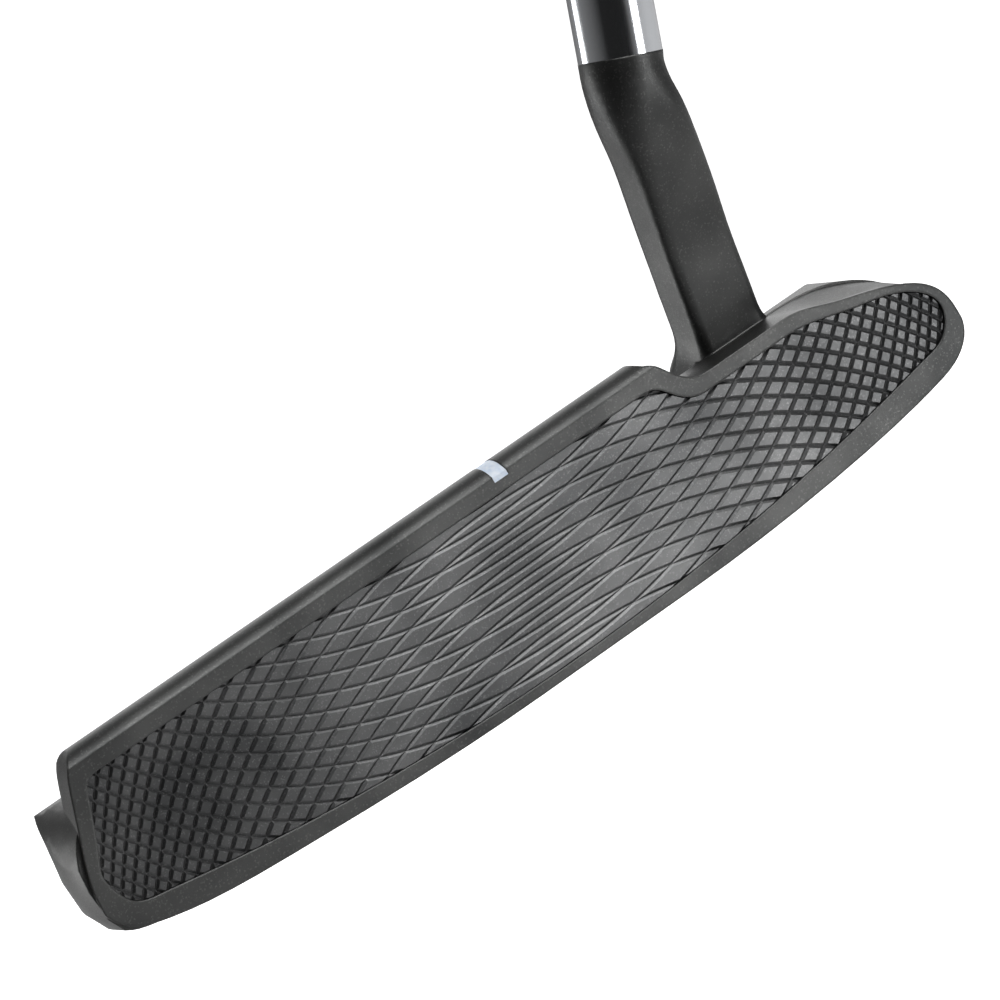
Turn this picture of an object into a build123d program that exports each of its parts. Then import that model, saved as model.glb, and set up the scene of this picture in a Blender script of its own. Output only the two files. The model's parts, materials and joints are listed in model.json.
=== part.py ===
from build123d import *
import os
from math import cos, pi, radians, sin, sqrt, tan

# Right-handed heel-shafted blade putter, standing at address on Z = 0.
# Millimetres. +X runs from toe to heel, +Y from the face to the back, +Z up.
# Heights and depths are drawn from the leading edge, and ORIGIN_BACK moves the
# whole club so that the origin sits on the flat of the sole.

# ---- driving dimensions -------------------------------------------------
LOFT = 3.0                 # the face leans back by this many degrees
LIE = 70.0                 # angle between the shaft and the ground, degrees
CLUB_LENGTH = 864.0        # along the shaft's axis, from the ground to the cap
ORIGIN_BACK = 6.0          # the origin is this far behind the leading edge

FACE_TOP = 22.75           # height of the top line's front edge
CROWN_RISE = 1.2           # the top line is crowned by this much
BLADE_THICK = 5.2          # face to the back of the top line
HEEL_SHELF = 18.95         # height of the rim in front of the neck
TOE_X = -62.2              # furthest point of the toe
HEEL_X = 61.3              # furthest point of the heel
HEAD_DEPTH = 26.0          # leading edge to trailing edge
SOLE_FLAT = (-6.0, 16.0)   # the flat of the sole runs between these X
SOLE_FLAT_DEPTH = 12.0     # and back to this depth
TRAILING_LIFT = 3.0        # the sole's trailing edge stands this far up
BUMPER_TOP = 18.7          # height of the toe and heel bumpers
BUMPER_FALL = 6.4          # they drop by this much towards the back
HEEL_SLOPE_X = 41.5        # outside this the heel slopes down
RAMP_END = 8.0             # the heel's ramp ends at this depth
RAMP_FOOT = 5.1            # and stands on the rear body at this height
RAMP_INSET = 0.2           # it starts this far inside the rim's edge
PLAN_CORNER = 24.0         # rear corners seen from above
DRAFT_WAIST = 10.5         # the rear walls stand widest at this height
LOWER_DRAFT = 5.0          # and lean in below it by this many degrees
UPPER_DRAFT = 5.0          # and above it by this many
FOOT_HEIGHT = 7.0          # below this the rear walls turn in to the sole
FOOT_DRAFT = 28.0
TOE_DRAWN_IN = 1.6         # the blade's toe is this much further in at its back
HEEL_DRAWN_IN = 0.5
TOE_SWELL = 0.8            # and the toe bumper this much further out
JOINT_STEP = 0.4           # the rear body starts this far behind the face

RIM_STEP = 0.25            # the insert lies this far behind the rim
INSERT_THICK = 2.4
BACKING_THICK = 0.6
INSERT_FIT = 0.06          # gap all round the insert in its pocket
RIM_TOP = 1.85             # rim width along the top line
RIM_BOTTOM = 1.1           # rim width at the lowest point of the sole
PANEL_FLOOR_RADIUS = 300.0 # the panel's lower edge is an arc of this radius
PANEL_ARC_END = 54.0       # and the arc reaches this far each way

CAVITY_FLOOR = 10.8        # top of the rear flange
CAVITY_X = (-40.0, 33.0)   # the cavity lies between the bumpers
CAVITY_CORNER = 4.0
CAVITY_DRAFT = 4.0

SIGHT_X = 2.6              # middle of the sight line
SIGHT_WIDTH = 1.9
SIGHT_DEPTH = 0.35

WEIGHT_X = (-45.6, 45.0)   # toe weight, heel weight
WEIGHT_Y = 14.0
WEIGHT_HEAD_DIA = 11.0
WEIGHT_HEAD_THICK = 3.4
WEIGHT_THREAD_DIA = 7.0
WEIGHT_THREAD_LENGTH = 5.0
WEIGHT_HEAD_FIT = 0.15     # gap round the head
THREAD_FIT = 0.05          # running clearance of the thread
WEIGHT_SEAT = 7.2          # height of the washer's seat above the ground
WASHER_THICK = 0.6
WRENCH_HOLE_DIA = 1.6
WRENCH_HOLE_CIRCLE = 7.0

SHAFT_TIP_DIA = 9.4
SHAFT_BUTT_DIA = 14.7
SHAFT_WALL = 0.65
SHAFT_FOOT_X = 19.8        # the shaft's axis meets the ground here
SHAFT_Y = 1.15             # and this far behind the leading edge
SHAFT_START = 56.9         # along the axis from the ground to the shaft's end
SHAFT_STEPS = 12
STEP_START = 210.0         # along the axis to the first step
STEP_PITCH = 30.0
SPUD_LENGTH = 28.0
BOND_GAP = 0.15            # adhesive film between spud and shaft

GRIP_LENGTH = 266.0
GRIP_TAPE_THICK = 0.2
CAP_THICK = 4.0
CAP_STUB_LENGTH = 8.0
VENT_DIA = 2.4

# ---- planes and small helpers -------------------------------------------
loft_rad = radians(LOFT)
lie_rad = radians(LIE)
axis_dir = Vector(cos(lie_rad), 0, sin(lie_rad))
flat_dir = Vector(-sin(lie_rad), 0, cos(lie_rad))
axis_foot = Vector(SHAFT_FOOT_X, SHAFT_Y, 0)
to_origin = Location((0, -ORIGIN_BACK, 0))


def face_plane(depth=0.0):
    """Plane of the face, moved back along its own normal by depth."""
    normal = Vector(0, -cos(loft_rad), sin(loft_rad))
    return Plane(origin=normal * -depth, x_dir=(1, 0, 0), z_dir=normal)


def shaft_plane(along):
    """Plane square to the shaft, with its X towards the grip's flat."""
    return Plane(origin=axis_foot + axis_dir * along, x_dir=flat_dir, z_dir=axis_dir)


def station(y):
    """Vertical plane across the head, y behind the leading edge."""
    return Plane(origin=(0, y, 0), x_dir=(1, 0, 0), z_dir=(0, -1, 0))


def across_head():
    """Side view plane, for sections that run from toe to heel."""
    return Plane(origin=(TOE_X - 5, 0, 0), x_dir=(0, 1, 0), z_dir=(1, 0, 0))


def closed_face(*edges):
    return make_face(Wire(list(edges)))


def tube(start, length, outer, inner):
    """Round tube on the shaft's axis."""
    ring = shaft_plane(start) * (Circle(outer / 2) - Circle(inner / 2))
    return extrude(ring, length)


def rod(start, length, diameter):
    return extrude(shaft_plane(start) * Circle(diameter / 2), length)


def save(name, shape):
    export_step(shape.moved(to_origin), f"parts/{name}.step")


# ---- head: blade --------------------------------------------------------
BLADE_BACK = FACE_TOP * tan(loft_rad) + BLADE_THICK
BLADE_TOP = FACE_TOP + CROWN_RISE + 0.3
TOP_LINE_X = (TOE_X + 7.0, 23.4)
TOE_WIDEST = 8.7
BLADE_TOE = (TOE_X + 1.4, 15.0)
BLADE_CORNER = [(TOE_X + 3.3, 20.4), (TOE_X + 4.55, BLADE_TOP), (TOP_LINE_X[0], BLADE_TOP)]
SOLE_TOE = (-55.5, 3.45)
SOLE_HEEL = (55.5, 3.2)
HEEL_WIDEST = (HEEL_X, 8.5)
RIM_HEEL = [(48.0, 17.4), (56.0, 15.0), (HEEL_X - 1.5, 12.7)]
BACK_HEEL = [(50.5, BUMPER_TOP - 0.6), (57.0, 15.3), (HEEL_X - 1.2, 12.4)]


def sole_edges():
    """Front view from the heel's widest point down and along the sole to its toe end."""
    return [
        Spline(HEEL_WIDEST, (HEEL_X - 1.5, 5.1), SOLE_HEEL, tangents=[(0, -1), (-1, -0.2)]),
        Spline(SOLE_HEEL, (40.0, 1.1), (SOLE_FLAT[1], 0), tangents=[(-1, -0.2), (-1, 0)]),
        Line((SOLE_FLAT[1], 0), (SOLE_FLAT[0], 0)),
        Spline((SOLE_FLAT[0], 0), (-40.0, 1.5), SOLE_TOE, tangents=[(-1, 0), (-1, 0.24)]),
    ]


def heel_slope(height, points):
    """Heel outline from the shelf down to the heel's widest point."""
    return Spline((HEEL_SLOPE_X, height), *points, HEEL_WIDEST, tangents=[(1, 0), (0, -1)])


def toe_side(toe, points, corner):
    """Toe outline from the end of the sole, round toe, to a rounded corner at a level top."""
    low, control, _ = corner
    lean = (control[0] - low[0], control[1] - low[1])
    return [
        Spline(SOLE_TOE, (toe + 1.7, 5.5), (toe, TOE_WIDEST), *points, low,
               tangents=[(-1, 0.24), lean]),
        Bezier(*corner),
    ]


def notch_edges():
    """The step down from the top line to the shelf in front of the neck."""
    notch_top = (TOP_LINE_X[1], BLADE_TOP)
    shoulder = (TOP_LINE_X[1] + 1.0, FACE_TOP + 0.6)
    shelf = (31.5, HEEL_SHELF)
    return [
        Line(notch_top, shoulder),
        Spline(shoulder, (26.4, HEEL_SHELF + 2.5), (28.6, HEEL_SHELF + 0.45), shelf,
               tangents=[(1.0, -0.35), (1, 0)]),
        Line(shelf, (HEEL_SLOPE_X, HEEL_SHELF)),
    ]


def face_outline():
    """Outer edge of the blade, with its top left high for the crown."""
    return closed_face(
        Line((TOP_LINE_X[0], BLADE_TOP), (TOP_LINE_X[1], BLADE_TOP)),
        *notch_edges(),
        heel_slope(HEEL_SHELF, RIM_HEEL),
        *sole_edges(),
        *toe_side(TOE_X, [BLADE_TOE], BLADE_CORNER),
    )


def toe_limit():
    """Area inside the toe's edge, open to the heel and below."""
    low = (TOE_X, -5.0)
    far = (HEEL_X + 5, -5.0)
    top_far = (HEEL_X + 5, BLADE_TOP)
    return closed_face(
        Line(low, far),
        Line(far, top_far),
        Line(top_far, (TOP_LINE_X[0], BLADE_TOP)),
        Bezier(*reversed(BLADE_CORNER)),
        Spline(BLADE_CORNER[0], BLADE_TOE, (TOE_X, TOE_WIDEST), tangents=[(-0.33, -1), (0, -1)]),
        Line((TOE_X, TOE_WIDEST), low),
    )


def heel_limit():
    """Area inside the notch's and the heel's edge, open to the toe and below."""
    low = (HEEL_X, -5.0)
    far = (TOE_X - 5, -5.0)
    top_far = (TOE_X - 5, BLADE_TOP)
    return closed_face(
        Line(top_far, (TOP_LINE_X[1], BLADE_TOP)),
        *notch_edges(),
        heel_slope(HEEL_SHELF, RIM_HEEL),
        Line(HEEL_WIDEST, low),
        Line(low, far),
        Line(far, top_far),
    )


def crown_profile():
    """Side view of the blade, bowed on top."""
    front = FACE_TOP * tan(loft_rad)
    side = closed_face(
        ThreePointArc((front, FACE_TOP), ((front + BLADE_BACK) / 2, FACE_TOP + CROWN_RISE),
                      (BLADE_BACK, FACE_TOP)),
        Line((BLADE_BACK, FACE_TOP), (BLADE_BACK, -1)),
        Line((BLADE_BACK, -1), (-tan(loft_rad), -1)),
        Line((-tan(loft_rad), -1), (front, FACE_TOP)),
    )
    return extrude(across_head() * side, HEEL_X - TOE_X + 10)


def blade():
    reach = BLADE_BACK + 6
    slab = extrude(station(-3) * face_outline(), reach, dir=(0, 1, 0)) & crown_profile()
    for limit, drawn_in in ((toe_limit(), TOE_DRAWN_IN), (heel_limit(), -HEEL_DRAWN_IN)):
        inward = Vector(drawn_in / BLADE_BACK, 1, 0).normalized()
        slab &= extrude(station(-0.5) * limit, reach, dir=inward)
    return slab


# ---- head: rear body ----------------------------------------------------
def heel_ramp():
    """Block that climbs from the rim's edge to the heel's high back."""
    sections = []
    for y, height, points, inset, heel in (
            (JOINT_STEP + 1, HEEL_SHELF, RIM_HEEL, RAMP_INSET, HEEL_X - HEEL_DRAWN_IN),
            (RAMP_END, BUMPER_TOP, BACK_HEEL, RAMP_INSET / 2, HEEL_X - 2 * HEEL_DRAWN_IN)):
        top = (HEEL_SLOPE_X, height - inset)
        slope = [(x - inset, z - inset) for x, z in points]
        low = (heel - 1.5, RAMP_FOOT)
        inner = (HEEL_SLOPE_X, RAMP_FOOT)
        sections.append(station(y) * closed_face(
            Spline(top, *slope, (heel, 8.5), low, tangents=[(1, 0), (-0.7, -1)]),
            Line(low, inner),
            Line(inner, top),
        ))
    return loft(sections, ruled=True)


def ramp_clearance():
    """Space above the foot of the heel's ramp, which the ramp fills."""
    low = Vector(HEEL_SLOPE_X, -5, RAMP_FOOT + 0.5)
    size = Vector(HEEL_X + 5, RAMP_END - 0.3, BUMPER_TOP + 5) - low
    return Pos(*(low + size / 2)) * Box(*size)


def rear_profile():
    """Front view of the body behind the blade."""
    toe = TOE_X - TOE_SWELL
    toe_top = (toe + 8.5, BUMPER_TOP)
    return closed_face(
        Line(toe_top, (HEEL_SLOPE_X, BUMPER_TOP)),
        heel_slope(BUMPER_TOP, BACK_HEEL),
        *sole_edges(),
        *toe_side(toe, [], [(toe + 1.1, 13.0), (toe + 3.2, BUMPER_TOP), toe_top]),
    )


def side_profile():
    """Side view of the rear body: a cambered sole and sloping bumpers."""
    top = BUMPER_TOP + 1
    back_top = BUMPER_TOP - BUMPER_FALL
    return closed_face(
        Line((JOINT_STEP + top * tan(loft_rad), top), (RAMP_END, BUMPER_TOP)),
        ThreePointArc((RAMP_END, BUMPER_TOP), (18.0, BUMPER_TOP - BUMPER_FALL * 0.4),
                      (HEAD_DEPTH, back_top)),
        Line((HEAD_DEPTH, back_top), (HEAD_DEPTH, TRAILING_LIFT)),
        Spline((HEAD_DEPTH, TRAILING_LIFT), (19.0, 0.75), (SOLE_FLAT_DEPTH, 0),
               tangents=[(-1, -0.6), (-1, 0)]),
        Line((SOLE_FLAT_DEPTH, 0), (JOINT_STEP, 0)),
        Line((JOINT_STEP, 0), (JOINT_STEP + top * tan(loft_rad), top)),
    )


def plan_outline():
    """Top view of the rear body: square at the face, round behind."""
    block = make_face(Polyline(
        (TOE_X + TOE_SWELL + 0.3, -HEAD_DEPTH), (HEEL_X - HEEL_DRAWN_IN / 2, -HEAD_DEPTH),
        (HEEL_X - HEEL_DRAWN_IN / 2, HEAD_DEPTH), (TOE_X - TOE_SWELL, HEAD_DEPTH), close=True))
    return fillet(block.vertices().group_by(Axis.Y)[-1], PLAN_CORNER)


def rear_body():
    waist = Plane.XY.offset(DRAFT_WAIST)
    upper = extrude(waist * plan_outline(), 10, taper=UPPER_DRAFT)
    lower = extrude(waist * plan_outline(), FOOT_HEIGHT - DRAFT_WAIST, taper=LOWER_DRAFT)
    foot = extrude(lower.faces().sort_by(Axis.Z)[0], FOOT_HEIGHT + 1, taper=FOOT_DRAFT)
    front = extrude(station(0) * rear_profile(), -(HEAD_DEPTH + 5))
    side = extrude(across_head() * side_profile(), HEEL_X - TOE_X + 10)
    body = ((upper + lower + foot) & front & side) - ramp_clearance()
    for x in WEIGHT_X:
        body -= weight_bore(x)
    return body


def cavity():
    """The hollow behind the top line, open to the back."""
    plan = Rectangle(CAVITY_X[1] - CAVITY_X[0], 2 * HEAD_DEPTH)
    block = extrude(plan, 20, taper=-CAVITY_DRAFT)
    block = fillet(block.edges().filter_by(lambda edge: edge.length < 25), CAVITY_CORNER)
    block = fillet(block.faces().sort_by(Axis.Z)[0].edges(), CAVITY_CORNER * 0.5)
    middle = (CAVITY_X[0] + CAVITY_X[1]) / 2
    return block.moved(Location((middle, BLADE_BACK + HEAD_DEPTH, CAVITY_FLOOR)))


# ---- head: neck and spud ------------------------------------------------
NECK_STATIONS = [
    # x, y, z, lean in x, lean in y, width, depth, corner
    (38.4, 9.8, 16.5, 0.0, -0.30, 12.8, 10.6, 2.8),
    (38.4, 9.5, 18.4, 0.0, -0.30, 10.8, 8.4, 2.1),
    (38.35, 9.1, 20.0, 0.0, -0.33, 9.4, 6.6, 1.4),
    (38.4, 8.4, 23.0, 0.0, -0.33, 8.9, 6.2, 1.2),
    (38.65, 6.95, 30.0, 0.0, -0.33, 8.8, 6.2, 1.2),
    (38.75, 4.9, 37.0, 0.0, -0.33, 8.9, 6.7, 1.5),
    (38.5, 2.75, 43.0, 0.0, -0.28, 9.0, 7.5, 2.2),
    (38.25, 1.55, 47.5, 0.12, -0.15, 9.4, 8.7, 3.4),
]


def neck():
    sections = []
    for x, y, z, lean_x, lean_y, width, depth, corner in NECK_STATIONS:
        rise = Vector(lean_x, lean_y, 1)
        place = Plane(origin=(x, y, z), x_dir=Vector(1, 0, -lean_x), z_dir=rise)
        sections.append(place * RectangleRounded(width, depth, corner))
    for back in (2.0, 0.0):
        place = Plane(origin=axis_foot + axis_dir * (SHAFT_START - back),
                      x_dir=Vector(sin(lie_rad), 0, -cos(lie_rad)), z_dir=axis_dir)
        sections.append(place * RectangleRounded(SHAFT_TIP_DIA, SHAFT_TIP_DIA, SHAFT_TIP_DIA * 0.49))
    return loft(sections)


def spud():
    bore = SHAFT_TIP_DIA - 2 * SHAFT_WALL
    return rod(SHAFT_START - 1, SPUD_LENGTH + 1, bore - 2 * BOND_GAP)


# ---- insert, its pocket and what lies behind it -------------------------
def panel_outline(inset=0.0):
    """Edge of the patterned panel, inside the rim and drawn in by inset."""
    top = FACE_TOP - RIM_TOP - inset
    shelf = HEEL_SHELF - RIM_TOP + 0.1 - inset
    toe_x = TOE_X + 2.3 + inset
    heel_x = HEEL_X - 1.6 - inset
    low = RIM_BOTTOM + inset
    end_x = PANEL_ARC_END - inset
    side = low + PANEL_FLOOR_RADIUS - sqrt(PANEL_FLOOR_RADIUS**2 - PANEL_ARC_END**2)
    return closed_face(
        Line((toe_x + 5.2, top), (22.4 - inset, top)),
        Spline((22.4 - inset, top), (25.3 - inset, shelf + 2.0), (29.4 - inset, shelf),
               tangents=[(1, 0), (1, 0)]),
        Line((29.4 - inset, shelf), (41.0 - inset, shelf)),
        Spline((41.0 - inset, shelf), (50.0 - inset, 15.5 - inset), (heel_x - 2.6, 13.4 - inset),
               (heel_x, 10.3), (heel_x - 1.6, 7.2 + inset), (end_x, side),
               tangents=[(1, 0), (-1, -0.18)]),
        ThreePointArc((end_x, side), (0, low), (-end_x, side)),
        Spline((-end_x, side), (toe_x + 1.3, 7.5 + inset), (toe_x, 10.3),
               (toe_x + 2.2, top - 4.1), tangents=[(-1, 0.18), (0.38, 1)]),
        Line((toe_x + 2.2, top - 4.1), (toe_x + 3.3, top - 1.2)),
        Bezier((toe_x + 3.3, top - 1.2), (toe_x + 3.75, top), (toe_x + 5.2, top)),
    )


def insert_pocket():
    depth = RIM_STEP + INSERT_THICK + BACKING_THICK
    return extrude(face_plane(-1) * panel_outline(), -(depth + 1))


def face_insert():
    return extrude(face_plane(RIM_STEP) * panel_outline(INSERT_FIT), -INSERT_THICK)


def insert_backing():
    start = RIM_STEP + INSERT_THICK
    return extrude(face_plane(start) * panel_outline(INSERT_FIT), -BACKING_THICK)


# ---- sight line ---------------------------------------------------------
def sight_band(outer, inner):
    """A strip of the crown between two depths under its surface."""
    front = FACE_TOP * tan(loft_rad)
    middle = front + BLADE_THICK / 2
    half = BLADE_THICK / 2
    radius = (half**2 + CROWN_RISE**2) / (2 * CROWN_RISE)
    centre_z = FACE_TOP + CROWN_RISE - radius
    ring = Circle(radius - outer) - Circle(radius - inner)
    strip = Plane(origin=(SIGHT_X - SIGHT_WIDTH / 2, middle, centre_z),
                  x_dir=(0, 1, 0), z_dir=(1, 0, 0))
    return extrude(strip * ring, SIGHT_WIDTH)


def sight_groove():
    return sight_band(-1.0, SIGHT_DEPTH) & upper_half()


def upper_half():
    return Pos(SIGHT_X, BLADE_THICK / 2, FACE_TOP + 8) * Box(10, 30, 20)


def sight_line(solid_blade):
    """Paint that fills the groove to just under the crown."""
    return sight_band(0.05, SIGHT_DEPTH) & upper_half() & solid_blade


# ---- sole weights -------------------------------------------------------
def upright(x, low, high, diameter):
    """Vertical cylinder at a weight's place."""
    middle = (low + high) / 2
    return Pos(x, WEIGHT_Y, middle) * Cylinder(diameter / 2, high - low)


def weight_bore(x):
    thread_top = WEIGHT_SEAT + WEIGHT_THREAD_LENGTH + 0.6
    head = upright(x, -5, WEIGHT_SEAT, WEIGHT_HEAD_DIA + 2 * WEIGHT_HEAD_FIT)
    thread = upright(x, 0, thread_top, WEIGHT_THREAD_DIA + 2 * THREAD_FIT)
    return head + thread


def sole_weight(x):
    seat = WEIGHT_SEAT - WASHER_THICK
    low = seat - WEIGHT_HEAD_THICK
    head = upright(x, low, seat, WEIGHT_HEAD_DIA)
    head = chamfer(head.edges().sort_by(Axis.Z)[0], 0.4)
    thread = upright(x, seat - 1, seat + WASHER_THICK + WEIGHT_THREAD_LENGTH, WEIGHT_THREAD_DIA)
    body = head + thread
    for turn in range(3):
        angle = 2 * pi * turn / 3
        hole_x = x + WRENCH_HOLE_CIRCLE / 2 * cos(angle)
        hole_y = WEIGHT_Y + WRENCH_HOLE_CIRCLE / 2 * sin(angle)
        body -= Pos(hole_x, hole_y, low + 1) * Cylinder(WRENCH_HOLE_DIA / 2, 2.0)
    return body


def washer(x):
    low = WEIGHT_SEAT - WASHER_THICK
    ring = upright(x, low, WEIGHT_SEAT, WEIGHT_HEAD_DIA)
    return ring - upright(x, low - 1, WEIGHT_SEAT + 1, WEIGHT_THREAD_DIA + 2 * WEIGHT_HEAD_FIT)


# ---- shaft and bond -----------------------------------------------------
def shaft():
    """Stepped steel tube, turned from one profile."""
    end = CLUB_LENGTH - CAP_THICK
    growth = (SHAFT_BUTT_DIA - SHAFT_TIP_DIA) / 2 / SHAFT_STEPS
    radius = SHAFT_TIP_DIA / 2
    outside = [(radius, SHAFT_START)]
    for step in range(SHAFT_STEPS):
        along = STEP_START + step * STEP_PITCH
        outside.append((radius, along))
        radius += growth
        outside.append((radius, along + 1.0))
    outside.append((radius, end))
    inside = [(r - SHAFT_WALL, s) for r, s in reversed(outside)]
    profile = make_face(Polyline(*outside, *inside, close=True))
    lengthwise = Plane(origin=axis_foot, x_dir=flat_dir, z_dir=flat_dir.cross(axis_dir))
    return revolve(lengthwise * profile, Axis(axis_foot, axis_dir))


def shaft_bond():
    bore = SHAFT_TIP_DIA - 2 * SHAFT_WALL
    return tube(SHAFT_START, SPUD_LENGTH, bore, bore - 2 * BOND_GAP)


# ---- grip ---------------------------------------------------------------
GRIP_STATIONS = [
    # share of the grip's length, width, depth, corner, shift away from the flat
    (0.0, 19.0, 18.6, 8.4, 0.2),
    (0.25, 21.0, 20.5, 8.6, 0.6),
    (0.55, 24.0, 23.5, 9.0, 1.2),
    (0.85, 27.0, 29.0, 10.0, 3.0),
    (1.0, 27.5, 31.0, 10.5, 3.6),
]


def grip_section(share, width, depth, corner, shift):
    along = CLUB_LENGTH - CAP_THICK - GRIP_LENGTH * (1 - share)
    return shaft_plane(along) * Pos(-shift, 0) * RectangleRounded(depth, width, corner)


def grip_body():
    outside = loft([grip_section(*values) for values in GRIP_STATIONS])
    bore = rod(CLUB_LENGTH - GRIP_LENGTH - 20, GRIP_LENGTH + 40, SHAFT_BUTT_DIA + 2 * GRIP_TAPE_THICK)
    return outside - bore


def grip_tape():
    start = CLUB_LENGTH - CAP_THICK - GRIP_LENGTH
    return tube(start, GRIP_LENGTH, SHAFT_BUTT_DIA + 2 * GRIP_TAPE_THICK, SHAFT_BUTT_DIA)


def grip_cap():
    top = GRIP_STATIONS[-1]
    plate = extrude(grip_section(*top), CAP_THICK)
    plate = fillet(plate.faces().sort_by(Axis(axis_foot, axis_dir))[-1].edges(), 1.8)
    stub_dia = SHAFT_BUTT_DIA - 2 * SHAFT_WALL - 2 * BOND_GAP
    base = CLUB_LENGTH - CAP_THICK
    stub = rod(base - CAP_STUB_LENGTH, CAP_STUB_LENGTH + 1, stub_dia)
    return plate + stub - rod(base - 20, 40, VENT_DIA)


# ---- assembly -----------------------------------------------------------
def main():
    os.makedirs("parts", exist_ok=True)
    solid_blade = blade()
    head = solid_blade + (rear_body() - cavity()) + heel_ramp() + neck() + spud()
    head -= insert_pocket()
    head -= sight_groove()
    save("head_body", head)
    save("face_insert", face_insert())
    save("insert_backing", insert_backing())
    save("sight_line", sight_line(solid_blade))
    for name, x in zip(("toe", "heel"), WEIGHT_X):
        save(f"weight_{name}", sole_weight(x))
        save(f"weight_washer_{name}", washer(x))
    save("shaft", shaft())
    save("shaft_bond", shaft_bond())
    save("grip_body", grip_body())
    save("grip_tape", grip_tape())
    save("grip_cap", grip_cap())


main()
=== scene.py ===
"""Blade putter: the looks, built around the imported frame.

Every length is in metres and every place is in the frame's own axes: +X from toe to heel,
-Y out of the face, +Z up. The origin is on the flat of the sole.
"""

import json
import logging
import math
from dataclasses import dataclass, field
from enum import Enum

import bmesh
import bpy
from mathutils import Matrix, Vector

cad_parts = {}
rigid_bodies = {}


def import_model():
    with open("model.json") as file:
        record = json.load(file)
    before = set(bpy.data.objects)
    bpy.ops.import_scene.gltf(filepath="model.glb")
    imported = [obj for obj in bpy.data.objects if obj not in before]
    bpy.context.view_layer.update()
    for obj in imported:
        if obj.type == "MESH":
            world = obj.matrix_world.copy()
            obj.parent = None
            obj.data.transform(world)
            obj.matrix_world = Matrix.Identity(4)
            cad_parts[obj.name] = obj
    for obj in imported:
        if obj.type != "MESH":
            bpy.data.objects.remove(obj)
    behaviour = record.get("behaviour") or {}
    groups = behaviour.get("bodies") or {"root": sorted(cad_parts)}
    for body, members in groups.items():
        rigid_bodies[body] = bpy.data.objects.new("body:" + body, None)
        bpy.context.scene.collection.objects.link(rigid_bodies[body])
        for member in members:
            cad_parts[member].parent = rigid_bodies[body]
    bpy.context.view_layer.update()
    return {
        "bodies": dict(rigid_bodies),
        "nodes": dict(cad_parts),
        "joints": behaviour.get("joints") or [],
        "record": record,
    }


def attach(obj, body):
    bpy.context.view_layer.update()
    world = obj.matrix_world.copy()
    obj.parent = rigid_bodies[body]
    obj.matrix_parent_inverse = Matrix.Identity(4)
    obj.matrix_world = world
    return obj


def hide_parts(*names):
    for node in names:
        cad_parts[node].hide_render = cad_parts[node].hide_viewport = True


logging.basicConfig(level=logging.INFO, format="%(name)s: %(message)s")
LOG = logging.getLogger("putter")

MM = 0.001
CLUB = "club"
Colour = tuple[float, float, float, float]

CUTTER_OVERSHOOT = 0.25  # how far a groove cutter stands over the face, in groove depths
MERGE_DISTANCE = 1e-6  # corners of a CAD mesh nearer than this are one
FLATS_WEIGHT = 80  # how strongly large flat faces pull the shading of their corners
NOISE_RANGE = (0.3, 0.7)  # where most of a noise texture's values lie
# Painted glints: cells in this range become bright specks painted into a coat's colour.
PAINTED_GLINT_RANGE = (0.86, 1.0)  # cells of the grain with a random value in here glint
WEAR_RANGE = (0.80, 0.985)  # cosine between rounded and true normal, fully worn to not worn


# ---------------------------------------------------------------- node trees
class Net:
    """A node tree under construction, with short calls to add and join nodes."""

    def __init__(self, tree: bpy.types.NodeTree) -> None:
        """Keeps the tree.

        Args:
            tree: The tree that the nodes go into.
        """
        self.tree = tree

    def add(self, kind: str, inputs: dict | None = None, **settings: object) -> bpy.types.Node:
        """Adds a node.

        Args:
            kind: The node's bl_idname.
            inputs: What each input socket gets, by socket name or number. A socket is
                linked, and any other value becomes the input's own value.
            **settings: The node's own properties.

        Returns:
            The new node.
        """
        node = self.tree.nodes.new(kind)
        for name, value in settings.items():
            setattr(node, name, value)
        for name, value in (inputs or {}).items():
            if isinstance(value, bpy.types.NodeSocket):
                self.tree.links.new(value, node.inputs[name])
            else:
                node.inputs[name].default_value = value
        return node

    def maths(self, operation: str, first: object, second: object = 0.0) -> bpy.types.NodeSocket:
        """Adds one sum in shader or geometry nodes.

        Args:
            operation: The Math node's operation.
            first: A socket or a number.
            second: A socket or a number.

        Returns:
            The result's socket.
        """
        return self.add("ShaderNodeMath", {0: first, 1: second}, operation=operation).outputs[0]

    def blend(self, share: object, low: object, high: object) -> bpy.types.NodeSocket:
        """Mixes two colours.

        Args:
            share: How much of the second colour shows, as a socket or a number.
            low: The first colour.
            high: The second colour.

        Returns:
            The mixed colour's socket.
        """
        node = self.add("ShaderNodeMix", data_type="RGBA")
        for number, value in ((0, share), (6, low), (7, high)):
            if isinstance(value, bpy.types.NodeSocket):
                self.tree.links.new(value, node.inputs[number])
            else:
                node.inputs[number].default_value = value
        return node.outputs[2]

    def spread(self, value: object, low: float, high: float, to_low: float,
               to_high: float) -> bpy.types.NodeSocket:
        """Maps one range on another and clamps it.

        Args:
            value: The socket to map.
            low: Start of its range.
            high: End of its range.
            to_low: What the start becomes.
            to_high: What the end becomes.

        Returns:
            The result's socket.
        """
        node = self.add("ShaderNodeMapRange",
                        {0: value, 1: low, 2: high, 3: to_low, 4: to_high})
        return node.outputs[0]


def new_group(name: str, kind: str, inputs: dict[str, str], outputs: dict[str, str]) -> Net:
    """Makes an empty node group with named sockets.

    Args:
        name: The group's name.
        kind: ShaderNodeTree or GeometryNodeTree.
        inputs: Socket type by input name.
        outputs: Socket type by output name.

    Returns:
        The group, with its input and output nodes added.
    """
    tree = bpy.data.node_groups.new(name, kind)
    for direction, sockets in (("INPUT", inputs), ("OUTPUT", outputs)):
        for label, socket_type in sockets.items():
            tree.interface.new_socket(name=label, in_out=direction, socket_type=socket_type)
    net = Net(tree)
    net.add("NodeGroupInput", name="in")
    net.add("NodeGroupOutput", name="out")
    return net


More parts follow.
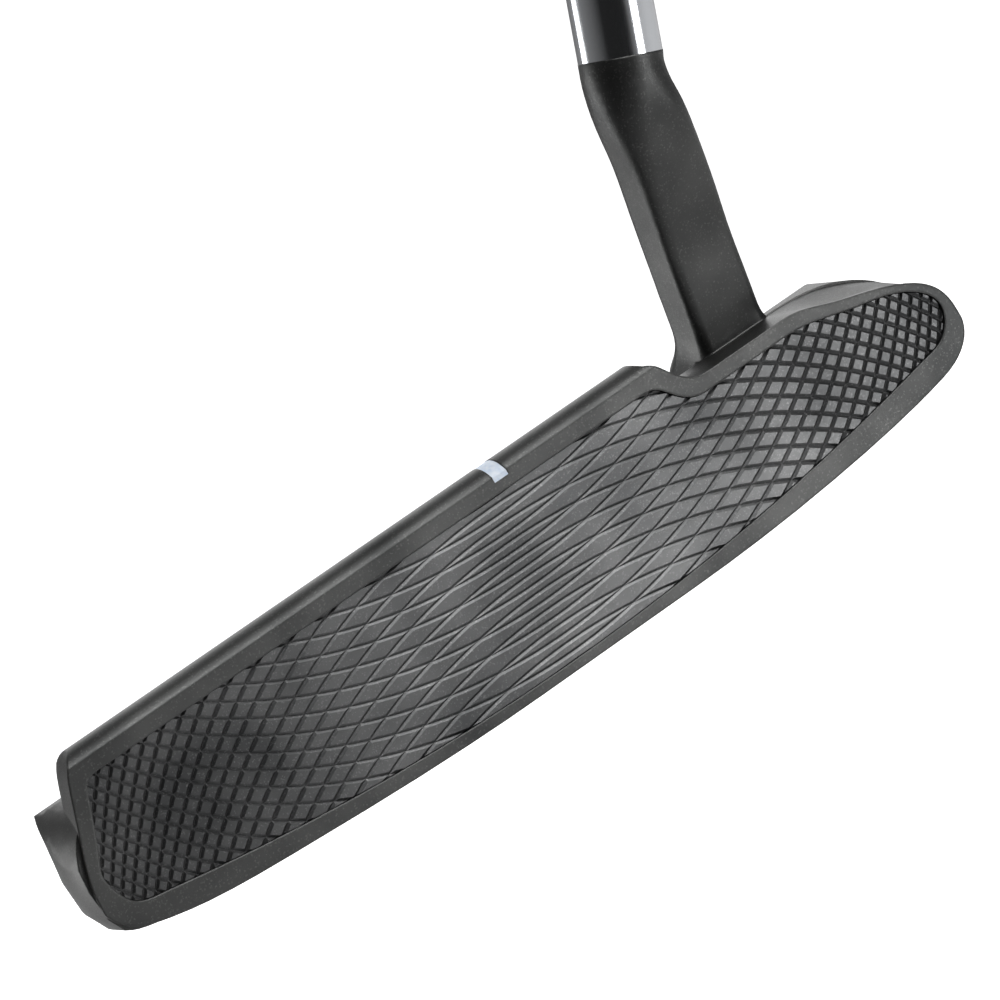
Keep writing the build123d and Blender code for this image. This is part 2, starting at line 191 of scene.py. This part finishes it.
class Effects:
    """Shader groups that several finishes share."""

    def __init__(self) -> None:
        """Builds the groups."""
        self.grain = self._grain()
        self.edges = self._edges()

    @staticmethod
    def _grain() -> bpy.types.NodeTree:
        """Blasted grain with a few bright specks, which are painted glints.

        Returns:
            A group from a place and a number of grains per metre to height and a mask of painted
            glints.
        """
        net = new_group("blasted_grain_with_painted_glints", "ShaderNodeTree",
                        {"Place": "NodeSocketVector", "Grains": "NodeSocketFloat"},
                        {"Height": "NodeSocketFloat", "Glints": "NodeSocketFloat"})
        source = net.tree.nodes["in"].outputs
        noise = net.add("ShaderNodeTexNoise", {"Vector": source[0], "Scale": source[1],
                                               "Detail": 3.0, "Roughness": 0.6})
        cells = net.add("ShaderNodeTexVoronoi", {"Vector": source[0], "Scale": source[1]})
        parts = net.add("ShaderNodeSeparateColor", {0: cells.outputs["Color"]})
        # Painted glints: rare cells picked out as a mask of painted highlights.
        glints = net.spread(parts.outputs[0], *PAINTED_GLINT_RANGE, 0.0, 1.0)
        target = net.tree.nodes["out"].inputs
        net.tree.links.new(noise.outputs[0], target[0])
        net.tree.links.new(glints, target[1])
        return net.tree

    @staticmethod
    def _edges() -> bpy.types.NodeTree:
        """Edges that look broken by a small radius, and where they wear.

        Returns:
            A group from a radius to a normal and a wear mask.
        """
        net = new_group("broken_edges", "ShaderNodeTree", {"Radius": "NodeSocketFloat"},
                        {"Normal": "NodeSocketVector", "Wear": "NodeSocketFloat"})
        source = net.tree.nodes["in"].outputs
        rounded = net.add("ShaderNodeBevel", {"Radius": source[0]}, samples=6)
        surface = net.add("ShaderNodeNewGeometry")
        match = net.add("ShaderNodeVectorMath",
                        {0: rounded.outputs[0], 1: surface.outputs["Normal"]},
                        operation="DOT_PRODUCT")
        wear = net.spread(match.outputs["Value"], *WEAR_RANGE, 1.0, 0.0)
        target = net.tree.nodes["out"].inputs
        net.tree.links.new(rounded.outputs[0], target[0])
        net.tree.links.new(wear, target[1])
        return net.tree


def blank_material(name: str) -> tuple[Net, bpy.types.Node, bpy.types.NodeSocket]:
    """Makes a material with one Principled shader.

    Args:
        name: The material's name.

    Returns:
        Its net, its shader node and a socket with Object coordinates.
    """
    material = bpy.data.materials.new(name)
    material.use_nodes = True
    net = Net(material.node_tree)
    place = net.add("ShaderNodeTexCoord").outputs["Object"]
    return net, material.node_tree.nodes["Principled BSDF"], place


def lay_grain(net: Net, effects: Effects, place: bpy.types.NodeSocket,
              size: float) -> bpy.types.Node:
    """Adds the shared grain to a material.

    Args:
        net: The material's net.
        effects: The shared shader groups.
        place: Where the grain is read.
        size: Size of one grain.

    Returns:
        The group's node.
    """
    grain = net.add("ShaderNodeGroup", node_tree=effects.grain)
    net.tree.links.new(place, grain.inputs[0])
    grain.inputs[1].default_value = 1.0 / size
    return grain


def roughen(net: Net, shader: bpy.types.Node, grain: bpy.types.Node, middle: float,
            swing: float) -> None:
    """Varies a finish's roughness with its grain.

    Args:
        net: The material's net.
        shader: Its Principled shader.
        grain: Its grain node.
        middle: Roughness at the middle of the range.
        swing: How far it goes to each side.
    """
    rough = net.spread(grain.outputs["Height"], *NOISE_RANGE, middle - swing, middle + swing)
    net.tree.links.new(rough, shader.inputs["Roughness"])


# ---------------------------------------------------------------- finishes
@dataclass(frozen=True)
class Coat:
    """Matte charcoal coat on blasted or milled steel, with a fine sparkle painted into its colour
    as glints.

    The coat's colour moves toward its lighter colour of wear and glints by the largest of its
    shares: cloudy mottling with the grain's painted glints (painted highlights in the base
    colour), and rubbed edges. Roughness swings to both sides.
    """

    name: str
    colour: Colour
    # Colour of rubbed edges, and also of the painted glints.
    worn_and_glint: Colour
    roughness: float
    grain_size: float
    edge_radius: float
    grain_depth: float
    metallic: float = 0.9
    clouds: float = 90.0
    cloud_share: float = 0.25
    painted_glint_share: float = 0.22
    # How far the painted glints brighten the colour.
    wear_share: float = 0.35
    swing: float = 0.07
    grain_strength: float = 0.5

    def build(self, effects: Effects) -> bpy.types.Material:
        """Makes the material.

        Args:
            effects: The shared shader groups.

        Returns:
            The finished material.
        """
        net, shader, place = blank_material(self.name)
        grain = lay_grain(net, effects, place, self.grain_size)
        edges = net.add("ShaderNodeGroup", node_tree=effects.edges)
        edges.inputs[0].default_value = self.edge_radius
        cloud = net.add("ShaderNodeTexNoise", {"Vector": place, "Scale": self.clouds,
                                               "Detail": 2.0})
        tone = net.spread(cloud.outputs[0], *NOISE_RANGE, 0.0, self.cloud_share)
        # Painted highlight: the grain's glints brighten the base colour.
        painted_glint = net.maths("MULTIPLY", grain.outputs["Glints"], self.painted_glint_share)
        rubbed = net.maths("MULTIPLY", edges.outputs["Wear"], self.wear_share)
        share = net.maths("MAXIMUM", net.maths("ADD", painted_glint, tone), rubbed)
        net.tree.links.new(net.blend(share, self.colour, self.worn_and_glint), shader.inputs["Base Color"])
        roughen(net, shader, grain, self.roughness, self.swing)
        shader.inputs["Metallic"].default_value = self.metallic
        bump = net.add("ShaderNodeBump", {"Height": grain.outputs["Height"],
                                          "Normal": edges.outputs["Normal"],
                                          "Strength": self.grain_strength,
                                          "Distance": self.grain_depth})
        net.tree.links.new(bump.outputs[0], shader.inputs["Normal"])
        return bpy.data.materials[self.name]


@dataclass(frozen=True)
class Plate:
    """Bright chrome plate with faint polishing marks and handling smears.

    The smears raise the roughness and dull the colour; the ranges are the parts of the
    noise that do so.
    """

    name: str
    colour: Colour
    roughness: float
    smears: float = 140.0
    smear_range: tuple[float, float] = (0.35, 0.75)
    tint_range: tuple[float, float] = (0.3, 0.8)
    smear_roughness: float = 0.10
    dull_share: float = 0.3
    dull_tone: float = 0.82
    grain_size: float = 1.0 / 9000.0
    grain_strength: float = 0.08
    grain_depth: float = 0.000004

    def build(self, effects: Effects) -> bpy.types.Material:
        """Makes the material.

        Args:
            effects: The shared shader groups.

        Returns:
            The finished material.
        """
        net, shader, place = blank_material(self.name)
        smear = net.add("ShaderNodeTexNoise", {"Vector": place, "Scale": self.smears,
                                               "Detail": 4.0})
        rough = net.spread(smear.outputs[0], *self.smear_range, self.roughness,
                           self.roughness + self.smear_roughness)
        net.tree.links.new(rough, shader.inputs["Roughness"])
        tint = net.spread(smear.outputs[0], *self.tint_range, 0.0, self.dull_share)
        dull = tuple(self.dull_tone * value for value in self.colour[:3]) + (1.0,)
        net.tree.links.new(net.blend(tint, self.colour, dull), shader.inputs["Base Color"])
        shader.inputs["Metallic"].default_value = 1.0
        grain = lay_grain(net, effects, place, self.grain_size)
        bump = net.add("ShaderNodeBump", {"Height": grain.outputs["Height"],
                                          "Strength": self.grain_strength,
                                          "Distance": self.grain_depth})
        net.tree.links.new(bump.outputs[0], shader.inputs["Normal"])
        return bpy.data.materials[self.name]


@dataclass(frozen=True)
class Dull:
    """Paint, rubber, tape or glue: a dull stuff with mottling and a soft grain."""

    name: str
    colour: Colour
    second: Colour
    roughness: float
    mottle_size: float
    grain_size: float
    grain_depth: float
    sheen: float = 0.0
    mottle_range: tuple[float, float] = (0.35, 0.65)
    swing: float = 0.08
    grain_strength: float = 0.6

    def build(self, effects: Effects) -> bpy.types.Material:
        """Makes the material.

        Args:
            effects: The shared shader groups.

        Returns:
            The finished material.
        """
        net, shader, place = blank_material(self.name)
        mottle = net.add("ShaderNodeTexNoise", {"Vector": place, "Scale": 1 / self.mottle_size,
                                                "Detail": 4.0})
        share = net.spread(mottle.outputs[0], *self.mottle_range, 0.0, 1.0)
        net.tree.links.new(net.blend(share, self.colour, self.second),
                           shader.inputs["Base Color"])
        grain = lay_grain(net, effects, place, self.grain_size)
        roughen(net, shader, grain, self.roughness, self.swing)
        shader.inputs["Sheen Weight"].default_value = self.sheen
        bump = net.add("ShaderNodeBump", {"Height": grain.outputs["Height"],
                                          "Strength": self.grain_strength,
                                          "Distance": self.grain_depth})
        net.tree.links.new(bump.outputs[0], shader.inputs["Normal"])
        return bpy.data.materials[self.name]


class Finish(Enum):
    """Every finish on the club."""

    HEAD = Coat("head_coat", (0.038, 0.039, 0.039, 1), (0.19, 0.19, 0.185, 1), 0.42,
                0.00016, 0.00035, 0.00002)
    INSERT = Coat("insert_coat", (0.046, 0.047, 0.048, 1), (0.26, 0.26, 0.26, 1), 0.36,
                  0.00014, 0.00004, 0.00001)
    WEIGHT = Coat("weight_steel", (0.42, 0.42, 0.43, 1), (0.65, 0.65, 0.66, 1), 0.30,
                  0.0002, 0.00015, 0.000006, 1.0)
    SHAFT = Plate("shaft_chrome", (0.50, 0.54, 0.58, 1), 0.10)
    SIGHT = Dull("sight_enamel", (0.56, 0.66, 0.80, 1), (0.74, 0.80, 0.88, 1), 0.5,
                 0.0007, 0.0002, 0.00002)
    GRIP = Dull("grip_rubber", (0.018, 0.018, 0.020, 1), (0.030, 0.030, 0.032, 1), 0.72,
                0.004, 0.0005, 0.00012, 0.15)
    WASHER = Dull("washer_polymer", (0.04, 0.04, 0.042, 1), (0.06, 0.06, 0.062, 1), 0.5,
                  0.002, 0.0003, 0.00002)
    BACKING = Dull("backing_elastomer", (0.03, 0.03, 0.03, 1), (0.045, 0.045, 0.045, 1), 0.8,
                   0.003, 0.0003, 0.00003)
    TAPE = Dull("grip_tape_paper", (0.72, 0.68, 0.56, 1), (0.80, 0.77, 0.68, 1), 0.8,
                0.003, 0.0004, 0.00004, 0.2)
    BOND = Dull("bond_epoxy", (0.32, 0.26, 0.14, 1), (0.38, 0.32, 0.18, 1), 0.35,
                0.002, 0.0003, 0.00001)


class Paints:
    """The built materials, one for each finish."""

    def __init__(self) -> None:
        """Builds every finish once."""
        effects = Effects()
        self._made = {finish: finish.value.build(effects) for finish in Finish}

    def get(self, finish: Finish) -> bpy.types.Material:
        """Gives a finish's material."""
        return self._made[finish]


# ---------------------------------------------------------------- pieces
@dataclass(frozen=True)
class Part:
    """How one CAD node is shown."""

    node: str
    slot: str
    finish: Finish
    body: str = CLUB
    smooth: float | None = 30.0


def evaluated_mesh(thing: bpy.types.Object, name: str) -> bpy.types.Mesh:
    """Turns an object with live modifiers into a plain mesh.

    Args:
        thing: The object.
        name: The new mesh's name.

    Returns:
        The mesh as evaluated.
    """
    graph = bpy.context.evaluated_depsgraph_get()
    graph.update()
    mesh = bpy.data.meshes.new_from_object(thing.evaluated_get(graph), depsgraph=graph)
    mesh.name = name
    return mesh


def show(name: str, mesh: bpy.types.Mesh) -> bpy.types.Object:
    """Puts a mesh in the scene at the origin.

    Args:
        name: The object's name.
        mesh: Its mesh, in place.

    Returns:
        The new object.
    """
    thing = bpy.data.objects.new(name, mesh)
    bpy.context.scene.collection.objects.link(thing)
    return thing


def merged_copy(node: str, frame: dict) -> bpy.types.Mesh:
    """Copies a CAD node's mesh and joins its loose triangles.

    Args:
        node: The node's name.
        frame: The loaded frame.

    Returns:
        A joined mesh. Where the CAD's edges are shorter than the merge distance, as at the
        top of the neck, it has some open edges and some shared by more than two faces.
    """
    mesh = frame["nodes"][node].data.copy()
    work = bmesh.new()
    work.from_mesh(mesh)
    bmesh.ops.remove_doubles(work, verts=work.verts, dist=MERGE_DISTANCE)
    work.to_mesh(mesh)
    work.free()
    mesh.materials.clear()
    if "custom_normal" in mesh.attributes:
        mesh.attributes.remove(mesh.attributes["custom_normal"])
    mesh.shade_flat()
    return mesh


def smooth_by_angle(thing: bpy.types.Object, degrees: float) -> None:
    """Shades a piece smooth between sharp edges, with flats kept flat.

    Args:
        thing: The piece. Its mesh is replaced.
        degrees: Edges that turn by more than this stay sharp.
    """
    mesh = thing.data
    mesh.shade_smooth()
    mesh.set_sharp_from_angle(angle=math.radians(degrees))
    weighted = thing.modifiers.new("flats", "WEIGHTED_NORMAL")
    weighted.keep_sharp = True
    weighted.weight = FLATS_WEIGHT
    finished = evaluated_mesh(thing, mesh.name + "_smooth")
    thing.modifiers.remove(weighted)
    thing.data = finished


class Bench:
    def __init__(self, frame: dict, paints: Paints) -> None:
        """Keeps what every piece needs.

        Args:
            frame: The loaded frame.
            paints: The built materials.
        """
        self.frame = frame
        self.paints = paints

    def fit(self, thing: bpy.types.Object, part: Part) -> None:
        """Lets a new piece stand for its CAD node.

        Args:
            thing: The piece, in place.
            part: The node that it replaces, finish and body.
        """
        if not thing.data.materials:
            thing.data.materials.append(self.paints.get(part.finish))
        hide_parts(part.node)
        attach(thing, part.body)
        LOG.info("%s stands for %s: %d faces", thing.name, part.node, len(thing.data.polygons))

    def smooth_part(self, part: Part) -> bpy.types.Object:
        """Shows a CAD node as a smoothly shaded copy.

        Args:
            part: The node and its looks.

        Returns:
            The piece.
        """
        thing = show("shown_" + part.node, merged_copy(part.node, self.frame))
        smooth_by_angle(thing, part.smooth)
        self.fit(thing, part)
        return thing

    def paint_part(self, part: Part) -> None:
        """Keeps a hidden CAD node and gives it its finish.

        Args:
            part: The node and its looks.
        """
        mesh = self.frame["nodes"][part.node].data
        mesh.materials.clear()
        mesh.materials.append(self.paints.get(part.finish))
        LOG.info("%s keeps its CAD mesh", part.node)


@dataclass
class Head:
    """Steel head with its neck, sight line, damping sheet and milled insert."""

    bench: Bench
    arc_radius: float = 72.3 * MM
    pitch: float = 2.12 * MM
    groove_width: float = 0.56 * MM
    groove_depth: float = 0.20 * MM
    smile_height: float = 18.88 * MM
    frown_height: float = 17.89 * MM
    half_span: float = 60.5 * MM
    arcs: int = 24
    smiles_above: int = 2
    frowns_above: int = 13
    arc_steps: int = 110
    parts: tuple[Part, ...] = (
        Part("head_body", "head_finish", Finish.HEAD, smooth=28.0),
        Part("sight_line", "sight_paint", Finish.SIGHT),
    )
    insert: Part = field(default=Part("face_insert", "insert_finish", Finish.INSERT))
    backing: Part = field(default=Part("insert_backing", "backing_elastomer", Finish.BACKING))

    def build(self) -> None:
        """Makes and fits every piece of the head."""
        for part in self.parts:
            self.bench.smooth_part(part)
        self.bench.paint_part(self.backing)
        self.milled_insert()

    def face_place(self) -> Matrix:
        """Gives the face's own axes: x along the face, y up it, z out of it.

        Returns:
            The matrix from the face's axes, whose origin is at ground height, to the frame.
        """
        mounts = self.bench.frame["record"]["mounts"]
        mount = next(entry for entry in mounts if entry["name"] == "striking_face")
        outward = Vector(mount["axis"]).normalized()
        up = outward.cross(Vector((1, 0, 0))).normalized()
        if up.z < 0:
            up.negate()
        point = Vector(mount["pos_m"])
        origin = point - up * (point.z / up.z)
        turn = Matrix((Vector((1, 0, 0)), up, outward)).transposed()
        return Matrix.Translation(origin) @ turn.to_4x4()

    def groove_tree(self) -> bpy.types.NodeTree:
        """Cuts two families of shallow V grooves, arcs that curl up and arcs that curl down.

        Returns:
            The geometry node tree.
        """
        inputs = {"Plate": "NodeSocketGeometry", "Radius": "NodeSocketFloat",
                  "Pitch": "NodeSocketFloat", "Width": "NodeSocketFloat",
                  "Depth": "NodeSocketFloat", "Smile height": "NodeSocketFloat",
                  "Frown height": "NodeSocketFloat", "Half angle": "NodeSocketFloat",
                  "Arcs": "NodeSocketInt", "Smiles above": "NodeSocketInt",
                  "Frowns above": "NodeSocketInt", "Steps": "NodeSocketInt",
                  "Place": "NodeSocketVector",
                  "Turn": "NodeSocketRotation", "Finish": "NodeSocketMaterial"}
        net = new_group("milled_grooves", "GeometryNodeTree", inputs,
                        {"Plate": "NodeSocketGeometry"})
        source = {socket.name: socket for socket in net.tree.nodes["in"].outputs}
        profile = self.groove_profile(net, source["Width"], source["Depth"])
        cutters = []
        for family, middle, rising in (("Smile", 1.5 * math.pi, 1.0),
                                       ("Frown", 0.5 * math.pi, -1.0)):
            start = net.maths("SUBTRACT", middle, source["Half angle"])
            sweep = net.maths("MULTIPLY", source["Half angle"], 2.0)
            arc = net.add("GeometryNodeCurveArc", {"Resolution": source["Steps"],
                                                   "Radius": source["Radius"],
                                                   "Start Angle": start, "Sweep Angle": sweep})
            upright = net.add("GeometryNodeSetCurveNormal", {"Curve": arc.outputs[0]},
                              mode="Z_UP")
            groove = net.add("GeometryNodeCurveToMesh",
                             {"Curve": upright.outputs[0], "Profile Curve": profile,
                              "Fill Caps": True})
            cutters.append(self.array(net, source, groove.outputs[0], family, rising))
        cut = net.add("GeometryNodeMeshBoolean", {"Mesh 1": source["Plate"]},
                      operation="DIFFERENCE", solver="MANIFOLD")
        for cutter in cutters:
            net.tree.links.new(cutter, cut.inputs["Mesh 2"])
        real = net.add("GeometryNodeRealizeInstances", {0: cut.outputs[0]})
        dressed = net.add("GeometryNodeSetMaterial", {"Geometry": real.outputs[0],
                                                      "Material": source["Finish"]})
        net.tree.links.new(dressed.outputs[0], net.tree.nodes["out"].inputs[0])
        return net.tree

    @staticmethod
    def groove_profile(net: Net, width: bpy.types.NodeSocket,
                       depth: bpy.types.NodeSocket) -> bpy.types.NodeSocket:
        """Draws the V of the cutter, which stands a little over the face.

        The profile's own Y runs into the face.

        Args:
            net: The tree.
            width: The groove's width at the face.
            depth: The groove's depth.

        Returns:
            The closed profile curve.
        """
        above = net.maths("MULTIPLY", depth, -CUTTER_OVERSHOOT)
        right = net.maths("MULTIPLY", width, (1 + CUTTER_OVERSHOOT) / 2)
        left = net.maths("MULTIPLY", right, -1.0)
        corners = {}
        for name, across, height in (("Point 1", 0.0, depth), ("Point 2", left, above),
                                     ("Point 3", 0.0, above), ("Point 4", right, above)):
            corners[name] = net.add("ShaderNodeCombineXYZ", {0: across, 1: height}).outputs[0]
        return net.add("GeometryNodeCurvePrimitiveQuadrilateral", corners,
                       mode="POINTS").outputs[0]

    @staticmethod
    def array(net: Net, source: dict, groove: bpy.types.NodeSocket,
              family: str, rising: float) -> bpy.types.NodeSocket:
        """Repeats one groove down the face and turns the rows on to the face.

        Args:
            net: The tree.
            source: The group's inputs by name.
            groove: One cutter, round its arc's centre.
            family: Smile or Frown, whose inputs give the row's height and number.
            rising: 1 if the arc's centre is above it, -1 if below.

        Returns:
            The cutters of one family.
        """
        lift = net.maths("MULTIPLY", source["Radius"], rising)
        above = net.maths("MULTIPLY", source["Pitch"], source[family + "s above"])
        top = net.maths("ADD", net.maths("ADD", source[family + " height"], lift), above)
        step = net.maths("MULTIPLY", source["Pitch"], -1.0)
        rows = net.add("GeometryNodeMeshLine",
                       {"Count": source["Arcs"],
                        "Start Location": net.add("ShaderNodeCombineXYZ", {1: top}).outputs[0],
                        "Offset": net.add("ShaderNodeCombineXYZ", {1: step}).outputs[0]})
        copies = net.add("GeometryNodeInstanceOnPoints", {"Points": rows.outputs[0],
                                                          "Instance": groove})
        real = net.add("GeometryNodeRealizeInstances", {0: copies.outputs[0]})
        placed = net.add("GeometryNodeTransform", {"Geometry": real.outputs[0],
                                                   "Translation": source["Place"],
                                                   "Rotation": source["Turn"]})
        return placed.outputs[0]

    def milled_insert(self) -> None:
        """Cuts the grooves into a copy of the insert and fits it."""
        thing = show("milled_insert", merged_copy(self.insert.node, self.bench.frame))
        tree = self.groove_tree()
        place = self.face_place()
        turn = place.to_quaternion()
        values = {"Radius": self.arc_radius, "Pitch": self.pitch, "Width": self.groove_width,
                  "Depth": self.groove_depth, "Smile height": self.smile_height,
                  "Frown height": self.frown_height,
                  "Half angle": math.asin(self.half_span / self.arc_radius),
                  "Arcs": self.arcs, "Smiles above": self.smiles_above,
                  "Frowns above": self.frowns_above, "Steps": self.arc_steps,
                  "Place": tuple(place.translation), "Turn": tuple(turn.to_euler()),
                  "Finish": self.bench.paints.get(self.insert.finish)}
        thing.data = run_tree(thing, tree, values)
        thing.data.shade_flat()
        self.bench.fit(thing, self.insert)


def run_tree(thing: bpy.types.Object, tree: bpy.types.NodeTree, values: dict) -> bpy.types.Mesh:
    """Runs a geometry node tree on a piece and takes the result as a plain mesh.

    Args:
        thing: The piece that the tree starts from.
        tree: The tree.
        values: What each named input gets.

    Returns:
        The plain mesh. The modifier is removed again.
    """
    modifier = thing.modifiers.new(tree.name, "NODES")
    modifier.node_group = tree
    for item in tree.interface.items_tree:
        if item.item_type == "SOCKET" and item.in_out == "INPUT" and item.name in values:
            modifier[item.identifier] = values[item.name]
    mesh = evaluated_mesh(thing, tree.name + "_mesh")
    thing.modifiers.remove(modifier)
    return mesh


@dataclass
class SoleWeights:
    """The two screwed weights and their locking washers."""

    bench: Bench
    ends: tuple[str, ...] = ("toe", "heel")

    def build(self) -> None:
        """Makes and fits the weights and washers."""
        for end in self.ends:
            self.bench.smooth_part(Part(f"weight_{end}", "weight_steel", Finish.WEIGHT,
                                        f"{end}_weight"))
            self.bench.smooth_part(Part(f"weight_washer_{end}", "washer_polymer", Finish.WASHER,
                                        f"{end}_washer"))


@dataclass
class Handle:
    """Shaft and grip, with what holds them."""

    bench: Bench
    parts: tuple[Part, ...] = (
        Part("shaft", "shaft_chrome", Finish.SHAFT, smooth=15.0),
        Part("grip_body", "grip_rubber", Finish.GRIP),
        Part("grip_cap", "grip_rubber", Finish.GRIP),
    )
    hidden: tuple[Part, ...] = (
        Part("shaft_bond", "bond_epoxy", Finish.BOND),
        Part("grip_tape", "tape_fabric", Finish.TAPE),
    )

    def build(self) -> None:
        """Makes and fits the shaft, the grip and the cap."""
        for part in self.parts:
            self.bench.smooth_part(part)
        for part in self.hidden:
            self.bench.paint_part(part)


# ---------------------------------------------------------------- studio
@dataclass(frozen=True)
class Softbox:
    """A square area light that looks at the head."""

    name: str
    place: tuple[float, float, float]
    size: float
    power: float
    colour: tuple[float, float, float] = (1.0, 1.0, 1.0)

    def build(self, target: Vector) -> None:
        """Adds the light.

        Args:
            target: What it looks at.
        """
        light = bpy.data.lights.new(self.name, "AREA")
        light.shape = "SQUARE"
        light.size = self.size
        light.energy = self.power
        light.color = self.colour
        lamp = bpy.data.objects.new(self.name, light)
        bpy.context.scene.collection.objects.link(lamp)
        lamp.location = Vector(self.place)
        lamp.rotation_euler = (target - lamp.location).to_track_quat("-Z", "Y").to_euler()


@dataclass
class Studio:
    """Floor, soft lights, surroundings and camera."""

    floor_drop: float = 0.30
    floor_size: float = 12.0
    floor_speckle: float = 40.0
    floor_colours: tuple[Colour, Colour] = ((0.93, 0.93, 0.93, 1), (0.95, 0.95, 0.95, 1))
    floor_roughness: float = 0.9
    white: Colour = (1, 1, 1, 1)
    room_depth: tuple[float, ...] = (-0.5, 0.8, 0.02, 0.30)  # Y of the view, then its light
    room_height: tuple[float, ...] = (-0.3, 0.6, 0.5, 1.0)  # Z of the view, then its light
    clip: tuple[float, float] = (0.01, 50.0)
    target: Vector = field(default_factory=lambda: Vector((0.0, 0.0, 0.012)))
    camera_place: Vector = field(
        default_factory=lambda: Vector((-0.33726, -0.72933, 0.20485)))
    camera_right: Vector = field(default_factory=lambda: Vector((0.7500, -0.4692, -0.4663)))
    camera_up: Vector = field(default_factory=lambda: Vector((0.5172, -0.0236, 0.8556)))
    lens: float = 274.9
    sensor: float = 36.0
    lights: tuple[Softbox, ...] = (
        Softbox("heel_side", (0.24, -0.34, -0.04), 0.12, 0.45),
        Softbox("overhead", (0.48, -0.52, 0.98), 0.75, 12.0),
        Softbox("behind", (0.50, 1.10, 0.50), 1.0, 5.0),
        Softbox("toe_side", (-0.90, 1.05, 0.05), 0.7, 6.0),
    )

    def build(self) -> None:
        """Adds everything that isn't the club."""
        self.floor()
        self.surroundings()
        for light in self.lights:
            light.build(self.target)
        self.camera()

    def floor(self) -> None:
        """Lays the plain pale floor, below the club, which is held by its grip."""
        net, shader, place = blank_material("pale_floor")
        speckle = net.add("ShaderNodeTexNoise", {"Vector": place, "Scale": self.floor_speckle})
        net.tree.links.new(net.blend(speckle.outputs[0], *self.floor_colours),
                           shader.inputs["Base Color"])
        shader.inputs["Roughness"].default_value = self.floor_roughness
        shader.inputs["Emission Color"].default_value = self.white
        seen = net.add("ShaderNodeLightPath").outputs["Is Camera Ray"]
        net.tree.links.new(seen, shader.inputs["Emission Strength"])
        half = self.floor_size / 2
        mesh = bpy.data.meshes.new("floor")
        corners = [(x, y, -self.floor_drop)
                   for x, y in ((-half, -half), (half, -half), (half, half), (-half, half))]
        mesh.from_pydata(corners, [], [(0, 1, 2, 3)])
        mesh.materials.append(bpy.data.materials["pale_floor"])
        show("floor", mesh)

    def surroundings(self) -> None:
        """Lights the room: white where it is seen, and dim in front of the face."""
        world = bpy.data.worlds.new("studio")
        world.use_nodes = True
        net = Net(world.node_tree)
        output = world.node_tree.nodes["World Output"]
        way = net.add("ShaderNodeSeparateXYZ",
                      {0: net.add("ShaderNodeTexCoord").outputs["Generated"]})
        depth = net.spread(way.outputs["Y"], *self.room_depth)
        height = net.spread(way.outputs["Z"], *self.room_height)
        glow = net.add("ShaderNodeBackground", {"Color": self.white,
                                                "Strength": net.maths("MULTIPLY", depth, height)})
        plain = net.add("ShaderNodeBackground", {"Color": self.white, "Strength": 1.0})
        seen = net.add("ShaderNodeLightPath").outputs["Is Camera Ray"]
        both = net.add("ShaderNodeMixShader", {0: seen, 1: glow.outputs[0], 2: plain.outputs[0]})
        net.tree.links.new(both.outputs[0], output.inputs["Surface"])
        bpy.context.scene.world = world

    def camera(self) -> None:
        """Sets the camera up."""
        data = bpy.data.cameras.new("camera")
        data.lens = self.lens
        data.sensor_width = self.sensor
        data.clip_start, data.clip_end = self.clip
        camera = bpy.data.objects.new("camera", data)
        bpy.context.scene.collection.objects.link(camera)
        right = self.camera_right.normalized()
        back = right.cross(self.camera_up).normalized()
        up = back.cross(right)
        turn = Matrix((right, up, back)).transposed()
        camera.matrix_world = Matrix.Translation(self.camera_place) @ turn.to_4x4()
        bpy.context.scene.camera = camera


def main() -> None:
    """Builds the club and the studio."""
    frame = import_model()
    bench = Bench(frame, Paints())
    for assembly in (Head(bench), SoleWeights(bench), Handle(bench)):
        LOG.info("building %s", type(assembly).__name__)
        assembly.build()
    Studio().build()
    bpy.context.scene.view_settings.view_transform = "Standard"


if __name__ == "__main__":
    main()
